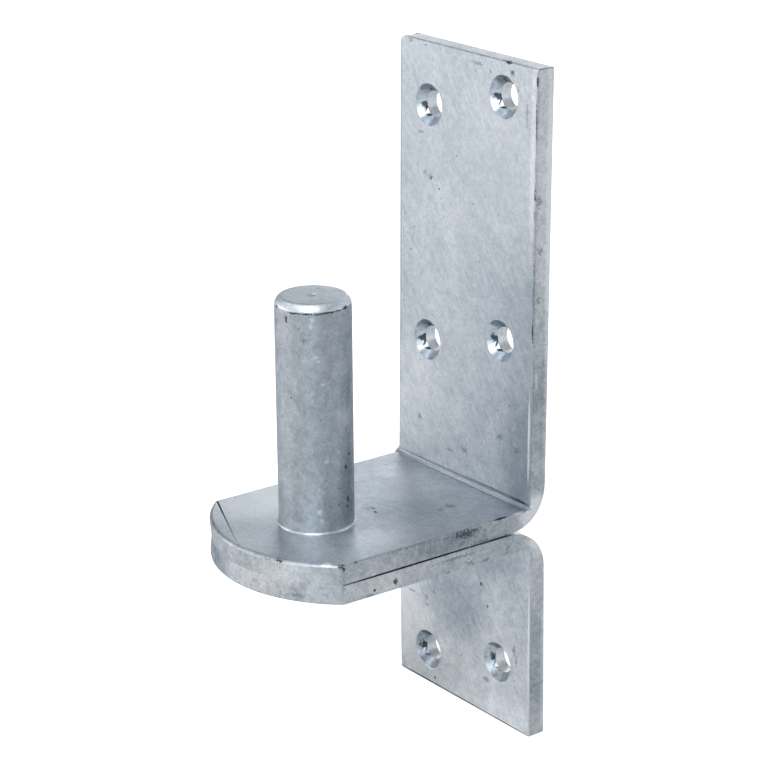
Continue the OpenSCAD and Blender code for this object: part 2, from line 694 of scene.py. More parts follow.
@dataclass
class BentBracket:
    """A flat bar, sheared to a round nose, drilled, countersunk and bent at a right angle.

    It is made flat, with X across the bar, Y along it from the nose and Z through it from the outer face,
    and is then bent, so that the drilled holes and rolled edges follow the bar as they do on the real one.
    Lengths are in millimetres and angles in degrees.
    """

    name: str
    node: str
    side: LegSide
    # Height of the leg's end above the seam, and places of the holes across the bar and above the seam
    reach: float
    holes: tuple[tuple[float, float], ...]
    # In the order of BarFace
    materials: Sequence[Material]
    width: float = 58.0
    thick: float = 5.5
    wall: float = 54.0
    # The sheared nose falls back at the seam and is rolled along its top
    nose: float = 26.5
    nose_r: float = 37.5
    nose_fall: float = 0.5
    nose_cuts: int = 36
    nose_roll: float = 0.95
    # The bar is also drawn over a lead on each side of the bend
    bend_in: float = 0.8
    bend_out: float = 12.0
    lead: float = 3.0
    bend_steps: int = 30
    spring: float = 0.65
    # Widths of the rounded edges, left and right as seen from the front
    edge_left: float = 2.0
    edge_right: float = 0.5
    edge_out: float = 0.4
    edge_end: float = 0.4
    edge_steps: int = 3
    corner_left: float = 3.2
    corner_right: float = 0.6
    # The rim is the rounding round a countersink, and the blend leads from its cone into the bore
    hole_d: float = 7.0
    sink_d: float = 11.4
    rim: float = 0.3
    bore_blend: float = 0.1
    hole_steps: int = 64
    hole_over: float = 1.0
    # How far the seam has opened at the wall, and the power with which it opens towards it
    seam_gap: float = 0.0
    seam_curve: float = 1.5
    # Metal pushed out sideways at the crease: from a share of the half width, over a share of the bend,
    # with the outer face drawn in by a share of it, and carried by loops at shares of the width and depth
    bulge: float = 0.9
    bulge_from: float = 0.72
    bulge_length: float = 0.2
    draw_in: float = 0.35
    bulge_loops: tuple[float, ...] = (-0.98, -0.94, -0.88, -0.8, -0.72, 0.72, 0.8, 0.88, 0.94, 0.98)
    depth_loops: tuple[float, ...] = (0.25, 0.5, 0.75)

    def bend_start(self) -> float:
        """Where the bend zone starts along the flat bar."""
        return self.nose + self.wall - self.bend_out - self.lead

    def bend_length(self) -> float:
        """Length that the bend zone takes along the flat bar."""
        return 2 * self.lead + self.bend_out

    def leg_start(self) -> float:
        """Height above the seam at which the bent leg is straight."""
        return self.bend_out + self.lead

    def along(self, height: float) -> float:
        """Place along the flat bar of a height on the leg. That of its reach is the whole bar's length."""
        return self.bend_start() + self.bend_length() + height - self.leg_start()

    def flat_bar(self) -> Shape:
        """Makes the flat bar with its sheared nose, and says how each edge is to be rounded.

        Returns:
            The flat bar's mesh.
        """
        bm = bmesh.new()
        size = Vector((self.width, self.along(self.reach), self.thick)) * MM
        middle = Matrix.Translation((0, size.y / 2, size.z / 2))
        bmesh.ops.create_cube(bm, size=1.0, matrix=middle @ Matrix.Diagonal((*size, 1)))
        self.shear_nose(bm)
        weight = bm.edges.layers.float.new("bevel_weight_edge")
        for edge in bm.edges:
            edge[weight] = self.edge_width(edge)
        return bm

    def edge_width(self, edge: bmesh.types.BMEdge) -> float:
        """Gives the width of the rounding that an edge of the sharp flat bar takes.

        Args:
            edge: The edge.

        Returns:
            Its width in millimetres, or 0 where the edge stays.
        """
        low, high = (f(v.co.z for v in edge.verts) / MM for f in (min, max))
        far = min(v.co.y for v in edge.verts) / MM
        at_side = abs(sum(v.co.x for v in edge.verts)) / MM > self.width - NEAR
        at_end, left = far > self.along(self.reach) - NEAR, edge.verts[0].co.x < 0
        if high - low > NEAR:
            return (self.corner_left if left else self.corner_right) if at_end else 0.0
        if low > self.thick / 2:
            if at_side:
                return self.edge_left if left else self.edge_right
            return self.edge_end if at_end else self.nose_roll
        return self.edge_out if at_side or at_end else 0.0

    def shear_nose(self, bm: Shape) -> None:
        """Shears the nose to its arc, as many flat cuts round it that fall back towards the seam.

        Args:
            bm: The flat bar's mesh.
        """
        span = math.asin(self.width / 2 / self.nose_r)
        lean = Vector((0, 0, -self.nose_fall / self.thick))
        for i in range(self.nose_cuts + 1):
            turn = span * (2 * i / self.nose_cuts - 1)
            out = Vector((math.sin(turn), -math.cos(turn), 0))
            touch = Vector((0, self.nose_r, self.thick)) * MM + out * self.nose_r * MM
            cut = bmesh.ops.bisect_plane(
                bm, geom=everything(bm), dist=ON_PLANE, plane_co=touch, plane_no=(out + lean).normalized(),
                clear_outer=True,
            )
            edges = [g for g in cut["geom_cut"] if isinstance(g, bmesh.types.BMEdge) and len(g.link_faces) < 2]
            if len(edges) > 2:
                bmesh.ops.edgeloop_fill(bm, edges=edges)
        bm.normal_update()
        bmesh.ops.recalc_face_normals(bm, faces=bm.faces[:])

    def hole_cutter(self) -> bpy.types.Object:
        """Makes the solids that the drill and the countersink take out of the flat bar, all in one object.

        Returns:
            The cutter as an object.
        """
        bore, sink, blend = self.hole_d / 2, self.sink_d / 2, self.bore_blend
        foot, top = -self.hole_over, self.thick + self.hole_over
        sink_z = self.thick - (sink - bore)
        # The rim turns from the cone's 45 degrees to the flat face, so its centre is set out by half of that
        rim_r = sink + self.rim * math.tan(math.radians(22.5))
        profile = [(0, foot), (bore, foot), (bore, sink_z - blend), (bore + blend, sink_z + blend)]
        profile += rounding((rim_r, self.thick - self.rim), self.rim, 135, 90, 4)
        profile += [(rim_r, top), (0, top)]
        bm = spun(profile, self.hole_steps)
        first = everything(bm)
        for x, height in self.holes:
            copied = bmesh.ops.duplicate(bm, geom=first)["geom"]
            verts = [g for g in copied if isinstance(g, bmesh.types.BMVert)]
            bmesh.ops.translate(bm, verts=verts, vec=(x * MM, self.along(height) * MM, 0))
        bmesh.ops.delete(bm, geom=[g for g in first if isinstance(g, bmesh.types.BMVert)], context="VERTS")
        return new_object("cutter", new_mesh("cutter", bm))

    def bent_point(self, flat: Vector) -> Vector:
        """Moves a point of the flat bar to its place on the bent bar.

        Args:
            flat: The point on the flat bar, in metres.

        Returns:
            The point on the bent bar, with the seam at height 0, in metres.
        """
        x, s, n = flat.x / MM, flat.y / MM, flat.z / MM
        inwards = n / self.thick
        turn = (s - self.bend_start()) / self.bend_length()
        if turn <= 0:
            return Vector((x, s - self.nose, n)) * MM
        if turn >= 1:
            height = self.leg_start() + s - self.bend_start() - self.bend_length()
            return self.sprung(x, self.wall - n, height, 1.0)
        inner = self.arc_point(turn, self.bend_in, self.thick)
        outer = self.arc_point(turn, self.bend_out, 0.0)
        y, z = outer.lerp(inner, inwards)
        edge = max(0.0, (abs(x) / (self.width / 2) - self.bulge_from) / (1 - self.bulge_from))
        middle = math.exp(-(((turn - 0.5) / self.bulge_length) ** 2))
        pushed = self.bulge * (inwards ** 2 - self.draw_in * (1 - inwards) ** 2)
        return self.sprung(x + math.copysign(pushed * middle * edge ** 2, x), y, z, turn)

    def sprung(self, x: float, y: float, z: float, share: float) -> Vector:
        """Turns a point of the bent bar by the angle that the bend has sprung open after pressing.

        Args:
            x: The point's place across the bar.
            y: Its distance towards the wall.
            z: Its height above the seam.
            share: The share of the angle that it takes.

        Returns:
            The point in metres.
        """
        angle = math.radians(self.spring) * share
        pivot = Vector((self.wall - self.thick, self.thick))
        arm = Vector((y, z)) - pivot
        y = pivot.x + arm.x * math.cos(angle) + arm.y * math.sin(angle)
        z = pivot.y - arm.x * math.sin(angle) + arm.y * math.cos(angle)
        return Vector((x, y, z)) * MM

    def arc_point(self, turn: float, radius: float, depth: float) -> Vector:
        """A point of the bend's inner or outer line.

        Args:
            turn: How far through the bend zone the point lies, from 0 to 1.
            radius: The line's bend radius.
            depth: The depth of the line inside the bar's outer face.

        Returns:
            The point's Y and Z with the seam at height 0.
        """
        share = self.lead / self.bend_length()
        start, end = self.wall - self.bend_out - self.lead, self.leg_start()
        centre = Vector((self.wall - depth - radius, depth + radius))
        if turn < share:
            return Vector((start + (centre.x - start) * turn / share, depth))
        if turn > 1 - share:
            return Vector((self.wall - depth, end + (centre.y - end) * (1 - turn) / share))
        angle = math.pi / 2 * (turn - share) / (1 - 2 * share)
        return centre + Vector((math.sin(angle), -math.cos(angle))) * radius

    def add_bend_loops(self, bm: Shape) -> None:
        """Cuts the loops that the bend needs: across the bar, near its edges and through its thickness.

        Args:
            bm: The flat bar's mesh.
        """
        start, length = self.bend_start(), self.bend_length()
        for i in range(self.bend_steps + 1):
            bmesh.ops.bisect_plane(
                bm, geom=everything(bm), dist=ON_PLANE,
                plane_co=(0, (start + length * i / self.bend_steps) * MM, 0), plane_no=(0, 1, 0),
            )
        low, high = start * MM - WELD, (start + length) * MM + WELD
        planes = [((x * self.width / 2 * MM, 0, 0), (1, 0, 0)) for x in self.bulge_loops]
        planes += [((0, 0, n * self.thick * MM), (0, 0, 1)) for n in self.depth_loops]
        for point, normal in planes:
            zone = [f for f in bm.faces if all(low < v.co.y < high for v in f.verts)]
            parts = {e for f in zone for e in f.edges} | {v for f in zone for v in f.verts}
            bmesh.ops.bisect_plane(
                bm, geom=zone + list(parts), dist=ON_PLANE, plane_co=point, plane_no=normal,
            )

    def mark_faces(self, bm: Shape) -> None:
        """Gives each face of the drilled flat bar its material, by where it lies and how it is turned.

        Args:
            bm: The flat bar's mesh, with its holes.
        """
        bm.normal_update()
        for face in bm.faces:
            flatness, middle = abs(face.normal.z), face.calc_center_median() / MM
            # The narrow faces get the darker copy of the zinc, which is painted shade on the sides and nose
            face.material_index = BarFace.SIDE if flatness < SLOPED_Z else BarFace.FLAT
            for x, height in self.holes:
                off = math.hypot(middle.x - x, middle.y - self.along(height))
                if off < self.sink_d / 2 + NEAR and flatness < FLAT_Z:
                    face.material_index = BarFace.BORE if flatness < UPRIGHT_Z else BarFace.SINK

    def open_seam(self, bm: Shape) -> None:
        """Lowers the bracket towards the wall, where the seam between the shelves has opened.

        Args:
            bm: The bent bar's mesh, in its place.
        """
        for vert in bm.verts:
            share = (vert.co.y / MM + self.nose) / (self.wall + self.nose)
            vert.co.z -= self.seam_gap * MM * max(0.0, share) ** self.seam_curve

    def build(self) -> bpy.types.Object:
        """Makes the bracket, bent and in its place.

        Returns:
            The finished piece, which replaces its CAD node.
        """
        bar = new_object("flat_bar", new_mesh(self.name, self.flat_bar()))
        rolled = bar.modifiers.new("rolled_edges", "BEVEL")
        rolled.limit_method = "WEIGHT"
        rolled.width = MM
        rolled.segments = self.edge_steps
        rolled.use_clamp_overlap = False
        keep_shape(bar)
        cut_away(bar, self.hole_cutter())
        bm = bmesh.new()
        bm.from_mesh(bar.data)
        take_out(bar)
        # The faces with holes are cut up before points are merged, because merging would close a hole
        bmesh.ops.triangulate(bm, faces=[f for f in bm.faces if len(f.verts) > 4])
        bmesh.ops.remove_doubles(bm, verts=bm.verts[:], dist=2 * WELD)
        self.mark_faces(bm)
        self.add_bend_loops(bm)
        for vert in bm.verts:
            vert.co = self.bent_point(vert.co)
        bmesh.ops.scale(bm, verts=bm.verts[:], vec=(1, 1, self.side.value))
        bmesh.ops.translate(bm, verts=bm.verts[:], vec=(0, 0, -self.thick * MM))
        self.open_seam(bm)
        bmesh.ops.remove_doubles(bm, verts=bm.verts[:], dist=WELD)
        bmesh.ops.recalc_face_normals(bm, faces=bm.faces[:])
        piece = new_piece(self.name, bm, self.materials)
        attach(piece, BODY)
        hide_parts(self.node)
        return piece


@dataclass
class RoundPin:
    """The turned pin with its worn crown, whose whiter zinc is partly painted highlight, its spigot and its
    riveted head.

    Lengths are in millimetres and angles in degrees.
    """

    body: Material
    crown: Material
    name: str = "round_pin"
    node: str = "hinge_pin"
    radius: float = 10.0
    height: float = 62.0
    # Heights of the loops along the side
    side_levels: tuple[float, ...] = (0.4, 10, 20, 30, 40, 50)
    crown_h: float = 2.1
    crown_in: float = 1.4
    # Distances below the crown, and insets, at which the side begins to draw in, and the crown's turns
    crown_start: tuple[tuple[float, float], ...] = ((1.2, 0.0), (0.35, 0.06))
    crown_turns: tuple[float, ...] = (10, 22, 34, 46, 58, 70, 80, 90)
    # Radius and height above the flat top of its points, and of those of the pip that the lathe left
    top: tuple[tuple[float, float], ...] = ((7.4, 0.02), (3.0, -0.02), (1.5, 0.0), (0.77, 0.02))
    pip: tuple[tuple[float, float], ...] = ((0.665, 0.06), (0.385, 0.34), (0.21, 0.4), (0.0, 0.4))
    spigot_r: float = 7.0
    stack: float = 11.0
    head_r: float = 10.0
    head_h: float = 3.0
    head_land: float = 0.1

    def profile(self) -> list[tuple[float, float]]:
        """Half profile of the pin, from the riveted head's middle up to the pip.

        Returns:
            The radius and height of each point.
        """
        cap_r = (self.head_r ** 2 + self.head_h ** 2) / (2 * self.head_h)
        centre_z = -self.stack - self.head_h + cap_r
        span = math.degrees(math.asin(self.head_r / cap_r))
        points = rounding((0, centre_z), cap_r, -90, -90 + span, 8)
        points += [(self.head_r - self.head_land, -self.stack), (self.spigot_r, -self.stack)]
        points += [(self.spigot_r, 0), (self.radius, 0)] + [(self.radius, z) for z in self.side_levels]
        points += [(self.radius - inset, self.height - self.crown_h - z) for z, inset in self.crown_start]
        for turn in map(math.radians, self.crown_turns):
            share = turn * 2 / math.pi
            inset = self.crown_in * (1 - math.cos(turn) + share) / 2
            points.append((self.radius - inset, self.height - self.crown_h * (2 - math.sin(turn) - share) / 2))
        return points + [(r, self.height + z) for r, z in self.top + self.pip]

    def build(self) -> bpy.types.Object:
        """Makes the pin in its place.

        Returns:
            The finished piece, which replaces its CAD node.
        """
        bm = spun(self.profile(), ROUND_STEPS)
        low, high, pip_r = self.height - self.crown_h, self.height - NEAR, self.pip[0][0]
        # The crown's band takes the whiter zinc as worn zinc and painted highlight, and the pip takes it as
        # painted highlight
        for face in bm.faces:
            middle = face.calc_center_median() / MM
            on_crown = low < middle.z < high and face.normal.z < FLAT_Z
            on_pip = middle.z > high and middle.xy.length < pip_r
            face.material_index = int(on_crown or on_pip)
        piece = new_piece(self.name, bm, [self.body, self.crown])
        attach(piece, BODY)
        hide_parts(self.node)
        return piece


@dataclass
class FootBead:
    """The thin ring of zinc that froze in the corner between the pin and the shelf.

    Lengths are in millimetres.
    """

    material: Material
    name: str = "pin_foot_bead"
    pin_r: float = 10.0
    size: float = 0.4
    sunk: float = 0.03
    # Height as a share of the ring's, number round the pin and start of each wave
    waves: tuple[Triple, ...] = ((0.22, 3, 1.0), (0.12, 7, 0.0))

    def build(self) -> bpy.types.Object:
        """Makes the ring in its place.

        Returns:
            The finished piece.
        """
        inner = self.pin_r - self.sunk
        profile = [(inner, 0.0), (self.pin_r + self.size, 0.0)]
        profile += rounding((inner, 0.0), self.size + self.sunk, 20, 90, 4)
        bm = spun(profile + [(inner, 0.0)], ROUND_STEPS)
        for vert in bm.verts:
            turn = math.atan2(vert.co.y, vert.co.x)
            vert.co.z *= 1 + sum(share * math.sin(count * turn + start) for share, count, start in self.waves)
        piece = new_piece(self.name, bm, [self.material])
        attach(piece, BODY)
        return piece


@dataclass(frozen=True)
class Softbox:
    """A rectangular soft light: its name, its place and size in metres, its power in watts and its tint."""

    name: str
    place: Triple
    size: tuple[float, float]
    watts: float
    tint: Tint = Tint.DAYLIGHT


SOFTBOXES = (
    Softbox("front_low", (-0.35, -0.90, 0.10), (0.8, 0.3), 1.08, Tint.WARM),
    Softbox("left_low", (-0.75, -0.62, 0.10), (0.8, 0.3), 1.55),
    Softbox("front_right", (0.65, -0.75, 0.35), (0.6, 0.6), 1.7, Tint.COOL),
    Softbox("front_top", (0.42, -0.52, 0.75), (0.5, 0.4), 4.6),
    Softbox("left_top", (-0.55, -0.45, 0.75), (0.6, 0.6), 1.16, Tint.COOL),
    Softbox("overhead", (-0.05, 0.10, 1.10), (0.9, 0.9), 1.7),
    Softbox("back_left", (-0.64, 0.74, 0.32), (0.6, 0.5), 2.25),
    Softbox("back_right", (0.65, 0.65, 0.20), (0.6, 0.5), 1.05),
)


@dataclass
class Studio:
    """The pale floor, the soft lights and the camera.

    Lengths are in metres and angles in degrees. The camera is that of the photograph.
    """

    floor_z: float = -0.0675
    floor_size: float = 8.0
    room: str = "#f2f4f6"
    room_light: float = 0.1
    backdrop_light: float = 1.0
    # The point that every softbox faces
    aim: Triple = (0, 0.02, 0.02)
    # Size of the picture, focal length and place of the part's origin in pixels, from the upper left
    picture: float = 768.0
    focal: float = 2569.4
    seen_at: tuple[float, float] = (316.79, 520.03)
    azimuth: float = 53.266
    elevation: float = 19.148
    roll: float = -0.498
    # Distance of the part's origin along the camera's axis
    distance: float = 0.675812
    sensor_mm: float = 36.0
    clip: tuple[float, float] = (0.01, 50.0)

    def floor(self) -> None:
        """Lays the pale floor under the part's lowest point."""
        bm = bmesh.new()
        bmesh.ops.create_grid(bm, x_segments=4, y_segments=4, size=self.floor_size / 2)
        bmesh.ops.translate(bm, verts=bm.verts[:], vec=(0, 0, self.floor_z))
        mesh = new_mesh("floor", bm)
        mesh.materials.append(WhiteBoardFinish().build())
        new_object("floor", mesh)

    def hang(self, box: Softbox) -> None:
        """Hangs one softbox, which lights the part and stays out of the picture.

        Args:
            box: The softbox.
        """
        lamp = bpy.data.lights.new(box.name, "AREA")
        lamp.shape = "RECTANGLE"
        lamp.size, lamp.size_y = box.size
        lamp.energy = box.watts
        lamp.color = box.tint.value
        holder = new_object(box.name, lamp)
        holder.location = box.place
        holder.visible_camera = False
        holder.rotation_euler = (Vector(self.aim) - Vector(box.place)).to_track_quat("-Z", "Y").to_euler()

    def lights(self) -> None:
        """Sets the dim room with its pale backdrop, and the softboxes."""
        world = bpy.data.worlds.new("studio_room")
        world.use_nodes = True
        tree = world.node_tree
        tree.nodes.clear()
        seen = add_node(tree, "LightPath").outputs["Is Camera Ray"]
        level = add_node(tree, "MapRange", {}, {
            "Value": seen, "To Min": self.room_light, "To Max": self.backdrop_light,
        })
        room = add_node(tree, "Background", {}, {
            "Color": linear(self.room), "Strength": level.outputs["Result"],
        })
        add_node(tree, "OutputWorld", {}, {"Surface": room.outputs["Background"]})
        bpy.context.scene.world = world
        for box in SOFTBOXES:
            self.hang(box)
        bpy.context.scene.view_settings.view_transform = "Standard"

    def camera(self) -> None:
        """Sets the camera at the photograph's viewing angle, with its lens and distance."""
        azimuth, elevation, roll = map(math.radians, (self.azimuth, self.elevation, self.roll))
        back = Vector((
            math.sin(azimuth) * math.cos(elevation), -math.cos(azimuth) * math.cos(elevation), math.sin(elevation),
        ))
        level = Vector((math.cos(azimuth), math.sin(azimuth), 0))
        upright = back.cross(level)
        right = level * math.cos(roll) + upright * math.sin(roll)
        up = upright * math.cos(roll) - level * math.sin(roll)
        across = (self.seen_at[0] - self.picture / 2) * self.distance / self.focal
        above = (self.picture / 2 - self.seen_at[1]) * self.distance / self.focal
        lens = bpy.data.cameras.new("camera")
        lens.sensor_width = self.sensor_mm
        lens.lens = self.focal / self.picture * lens.sensor_width
        lens.clip_start, lens.clip_end = self.clip
        camera = new_object("camera", lens)
        turn = Matrix((right, up, back)).transposed().to_4x4()
        camera.matrix_world = Matrix.Translation(back * self.distance - right * across - up * above) @ turn
        bpy.context.scene.camera = camera

    def build(self) -> None:
        """Builds the whole studio."""
        self.floor()
        self.lights()
        self.camera()


PIT, SMUDGE, FLECK, SCORE, SHADE, GLINT = Mark

UPPER_MARKS = tuple(WearMark(*row) for row in (
    # Front face of the leg
    (PIT, (17.1, 49.8, 118.5), (1.5, 1, 0.8)),
    (SMUDGE, (4.6, 49.8, 116.1), (2.2, 0.8, 0.5)),
    (SMUDGE, (18.8, 49.8, 115.9), (1, 0.8, 0.9)),
    (PIT, (19, 49.8, 115.8), (0.5, 0.8, 0.6)),
    (SMUDGE, (10.4, 49.8, 114.6), (0.8, 0.8, 0.5)),
    (SMUDGE, (-18.8, 49.6, 93.6), (1.4, 0.8, 0.45)),
    (SMUDGE, (-14.4, 49.4, 82), (1, 0.8, 0.8)),
    (PIT, (-14.2, 49.4, 81.7), (0.4, 0.8, 0.5)),
    (SMUDGE, (-16.6, 49.4, 82.9), (0.7, 0.8, 0.6)),
    (PIT, (-10.8, 49.4, 79.4), (0.35, 0.8, 0.35)),
    (SMUDGE, (-23, 49.2, 60.2), (0.8, 0.8, 0.4)),
    (SMUDGE, (-23.4, 49.8, 117.6), (1.2, 0.8, 0.5)),
    (PIT, (-16.9, 49.8, 117.3), (0.35, 0.8, 0.35)),
    (SMUDGE, (25, 49.7, 106.5), (0.4, 0.8, 2.6)),
    (SMUDGE, (15.9, 48.7, 16.8), (1.5, 0.8, 0.9)),
    (SMUDGE, (1.1, 48.6, 8.7), (1.5, 0.8, 0.8)),
    (SMUDGE, (-5, 48.6, 6.9), (1.2, 0.8, 0.6)),
    (SMUDGE, (23.5, 48.7, 15.3), (1, 0.8, 1)),
    (SMUDGE, (-18.5, 48.6, 13), (1.2, 0.8, 0.9)),
    # Painted shade: a soft grey line inside the rolled left-hand edge
    (SHADE, (-27.4, 49.3, 60), (0.2, 1.5, 60)),
    # Right-hand edge and side of the leg: dark lines, smudges and pits along the rolled edge, a painted highlight
    # line down the front face and painted highlight flecks on the corners
    (SCORE, (28.95, 49.9, 115.2), (0.5, 0.26, 1.8)),
    (SCORE, (28.95, 49.75, 106), (0.5, 0.13, 9.5)),
    (SCORE, (28.95, 49.55, 94), (0.5, 0.12, 4)),
    (PIT, (28.95, 49.45, 86.5), (0.5, 0.26, 3)),
    (SCORE, (28.95, 49.4, 80.5), (0.5, 0.15, 2.4)),
    (SMUDGE, (29, 49.3, 62), (0.5, 0.3, 14)),
    (SCORE, (28.95, 49.15, 49.5), (0.5, 0.15, 3.6)),
    (SMUDGE, (29, 50.6, 84), (0.5, 0.9, 1.7)),
    (SMUDGE, (29, 51.1, 70.9), (0.5, 0.9, 1.2)),
    (SMUDGE, (29, 50.7, 57.9), (0.5, 0.6, 1.3)),
    (GLINT, (28.2, 48.7, 20), (0.5, 0.3, 17)),
    (FLECK, (29, 50.4, 36), (0.5, 0.5, 2.8)),
    (FLECK, (28.6, 49.6, 117.9), (0.5, 0.5, 0.45)),
    (FLECK, (29, 54.4, 117.9), (0.6, 0.5, 0.5)),
    # Side of the shelf and its edge, with painted shade along the seam between the bars
    (SMUDGE, (29, 26, -1.4), (0.6, 5.5, 1.4)),
    (PIT, (29, 26.4, -1.3), (0.6, 3.6, 1)),
    (SMUDGE, (29, 32.5, -5), (0.6, 5, 0.6)),
    (SCORE, (28.9, 38.8, -0.15), (0.7, 2.7, 0.24)),
    (SCORE, (28.8, 12, -5.4), (0.9, 27, 0.2)),
    (SCORE, (28.8, 38, -5.4), (0.9, 6, 0.3)),
    (PIT, (28.8, -12.3, -1.1), (0.6, 0.7, 0.7)),
    (PIT, (29, -8.5, 0), (0.6, 0.5, 0.4)),
    (SMUDGE, (29, 10, -0.3), (0.4, 9, 0.25)),
    # Top of the shelf
    (SMUDGE, (1.9, 15.2, 0), (1.6, 0.9, 0.5)),
    (PIT, (2.2, 16.6, 0), (0.9, 0.5, 0.5)),
    (PIT, (4.8, 15.4, 0), (0.8, 0.6, 0.5)),
    (SMUDGE, (13.8, 33.7, 0), (1.7, 1.4, 0.5)),
    (SMUDGE, (14.4, 29.9, 0), (0.9, 1.1, 0.5)),
    # Painted shade and painted highlights in the crease of the bend and round its corners
    (SHADE, (0, 48.45, 0.85), (34, 0.5, 0.5)),
    (SCORE, (14, 48.5, 1.4), (14, 0.5, 0.13)),
    (SCORE, (25, 48.4, 1.2), (3.6, 0.5, 0.36)),
    (GLINT, (28.8, 44.8, -0.1), (0.6, 2.4, 0.3)),
    (SHADE, (2, 46.9, 0), (28, 0.16, 0.3)),
    (SHADE, (24, 48.4, 1.2), (5, 0.6, 0.6)),
    (GLINT, (0, 47.75, 0.1), (33, 0.34, 0.34)),
    (FLECK, (-29.6, 47.4, 1), (1.2, 1.2, 1)),
    # Nose, with a painted highlight on its right-hand corner
    (PIT, (15.2, -22.6, -0.4), (1.9, 1.1, 0.35)),
    (SMUDGE, (11.8, -23.9, -0.6), (2, 1, 0.4)),
    (GLINT, (25.6, -15.2, -0.2), (1.9, 1.7, 0.35)),
    (PIT, (28.2, -12.7, -0.4), (0.8, 1, 0.6)),
))

LOWER_MARKS = tuple(WearMark(*row) for row in (
    # Front face of the leg
    (SMUDGE, (-22.8, 48.8, -41.2), (1.6, 0.8, 0.4)),
    (SMUDGE, (-16.2, 48.8, -40.8), (0.6, 0.8, 0.5)),
    (SMUDGE, (-15.9, 48.9, -43.1), (0.6, 0.8, 0.5)),
    (SMUDGE, (-12.6, 48.8, -38.2), (0.6, 0.8, 0.5)),
    (PIT, (11.4, 48.8, -34.1), (0.5, 0.8, 0.5)),
    (PIT, (8.6, 48.7, -28.4), (0.5, 0.8, 0.5)),
    (SMUDGE, (22.8, 48.9, -43.3), (0.7, 0.8, 1.8)),
    (SMUDGE, (23.8, 48.9, -46.2), (0.5, 0.8, 1.5)),
    (SMUDGE, (10.6, 49, -56.6), (1.4, 0.8, 0.9)),
    (PIT, (-12.6, 49.1, -64.8), (0.5, 0.8, 0.4)),
    # Painted shade along the leg's bottom edge
    (SCORE, (-17, 49.1, -67.1), (15, 1.4, 0.6)),
    (SCORE, (0, 49.1, -67.1), (16, 1.4, 0.5)),
    (SCORE, (18, 49.1, -67.1), (13, 1.4, 0.42)),
    # Side of the shelf and of the bend, with a painted highlight line down the leg's right-hand edge and painted
    # shade along the seam
    (PIT, (29, 3.9, -8.8), (0.6, 0.6, 1)),
    (PIT, (29, -2.6, -9.3), (0.6, 0.45, 0.45)),
    (SMUDGE, (29, -3.9, -10.3), (0.6, 1.3, 0.5)),
    (PIT, (29, 18.4, -11.5), (0.6, 0.8, 0.45)),
    (PIT, (29, 21.4, -11), (0.6, 0.6, 0.4)),
    (SMUDGE, (29, 28.4, -10), (0.6, 1.2, 0.7)),
    (SMUDGE, (29, 33.8, -10.6), (0.6, 0.9, 0.6)),
    (SMUDGE, (29, 41.1, -9.6), (0.6, 0.8, 1)),
    (PIT, (28.9, 44.6, -12.6), (0.7, 2.2, 0.5)),
    (SMUDGE, (29, 24, -7.4), (0.6, 7, 0.4)),
    (GLINT, (28.8, 49, -42), (0.4, 0.34, 25)),
    (SCORE, (28.8, 12, -5.6), (0.9, 27, 0.2)),
    # Nose
    (SMUDGE, (20, -20.4, -9), (3, 1.2, 0.6)),
))

# Chips along the lower edge of the crown: their turn round the pin in degrees, and their height
CROWN_CHIPS = (
    (-68, 59.75), (-57, 59.8), (-44, 59.85), (-31, 59.7), (-20, 59.9), (-9, 60), (4, 60),
)
PIN_R = 10.0

PIN_MARKS = tuple(
    WearMark(PIT, (PIN_R * math.cos(turn), PIN_R * math.sin(turn), height), (1.5, 1.5, 0.24))
    for turn, height in ((math.radians(turn), height) for turn, height in CROWN_CHIPS)
) + tuple(WearMark(*row) for row in (
    (PIT, (7, -7.1, 59.9), (1.6, 1.4, 0.32)),
    (PIT, (9.6, -2.8, 60), (0.8, 1.2, 0.3)),
    (PIT, (9.4, 3.3, 60.1), (0.8, 1.4, 0.4)),
    (SMUDGE, (8.9, -4.9, 59.8), (1.2, 3.6, 0.25)),
    (PIT, (-2.5, -9.7, 60.2), (1, 0.6, 0.5)),
    (PIT, (2, -9.8, 57.7), (0.35, 0.6, 1)),
    (SMUDGE, (-2.8, -9.6, 56.4), (0.6, 0.6, 1.6)),
    (SMUDGE, (6.6, -7.6, 52.8), (0.7, 0.7, 0.9)),
    (PIT, (9.1, 4.2, 20.3), (0.5, 0.5, 0.4)),
    (PIT, (9.6, 2.8, 17.2), (0.5, 0.6, 0.6)),
    (SMUDGE, (10, 0.5, 11.7), (0.5, 0.5, 0.5)),
    (PIT, (9.4, 3.4, 8), (0.5, 0.5, 0.9)),
    (PIT, (9.5, 3.2, 6.2), (0.5, 0.45, 0.5)),
    (SMUDGE, (10, 0.1, 7.4), (0.5, 0.5, 0.5)),
    # Painted highlights: bright flecks down the lit front of the pin
    (FLECK, (8, -6, 58.3), (0.6, 0.6, 0.6)),
    (FLECK, (7.8, -6.3, 56.6), (0.5, 0.5, 0.6)),
    (FLECK, (8.5, -5.3, 48.3), (0.7, 0.7, 0.5)),
    (FLECK, (8.8, -4.8, 47.2), (0.6, 0.6, 0.4)),
    (FLECK, (9.1, -4, 41), (0.7, 0.8, 0.4)),
    (FLECK, (9.5, -3.1, 19.9), (0.6, 0.7, 0.5)),
    (FLECK, (8.6, -5, 6), (0.6, 0.7, 0.8)),
    (FLECK, (8.8, -4.6, 3.6), (0.5, 0.6, 0.7)),
))

# Painted shade down the pin's right-hand side
PIN_PATCHES = tuple(TonePatch(*row) for row in (
    ((9.8, 3.5, 12), (2.5, 3.5, 16), -0.3),
    ((9.8, 3.5, 38), (2.5, 3.5, 6), -0.2),
))

